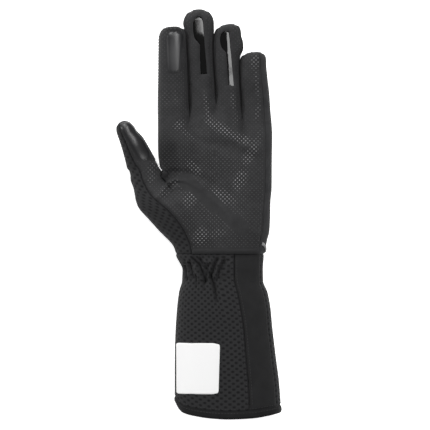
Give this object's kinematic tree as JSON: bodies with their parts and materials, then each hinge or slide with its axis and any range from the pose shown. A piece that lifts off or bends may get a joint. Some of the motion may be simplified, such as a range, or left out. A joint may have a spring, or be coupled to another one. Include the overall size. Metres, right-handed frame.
{
  "type": "karting glove",
  "caption": "Long-cuffed left karting glove with a suede palm, mesh back, glossy grip pads and gathered wrist, lying palm up.",
  "frame": {"origin": "under the middle of the glove's box, on the surface that it lies on", "axes": "+Y towards the fingertips, +Z out of the palm, the thumb on the -X side"},
  "size_m": [0.136, 0.3354, 0.0449],
  "materials": {
    "suede": "black brushed synthetic suede with small raised glossy dots",
    "back_mesh": "black open knitted mesh",
    "side_knit": "black fine matt knit",
    "gusset_knit": "black smooth stretch knit",
    "hem_knit": "black turned and stitched hem",
    "grip_gloss": "dark glossy moulded grip film",
    "insert_gloss": "black high-gloss grip insert",
    "patch_white": "blank white printed patch",
    "piping_grey": "light grey woven piping"
  },
  "bodies": {
    "root": {"palm_panel": "suede", "palm_hem": "suede", "back_panel": "back_mesh", "thumb_side": "back_mesh", "cuff_front": "back_mesh", "cuff_back": "back_mesh", "side_thumb_index": "side_knit", "fourchette_index_middle": "side_knit", "fourchette_middle_ring": "side_knit", "fourchette_ring_little": "side_knit", "little_outer_side": "side_knit", "cuff_gusset": "gusset_knit", "cuff_hem": "hem_knit", "index_grip_pad": "grip_gloss", "thumb_grip_pad": "grip_gloss", "middle_grip_insert": "insert_gloss", "ring_grip_insert": "insert_gloss", "name_patch": "patch_white", "wrist_piping": "piping_grey"}
  },
  "joints": []
}
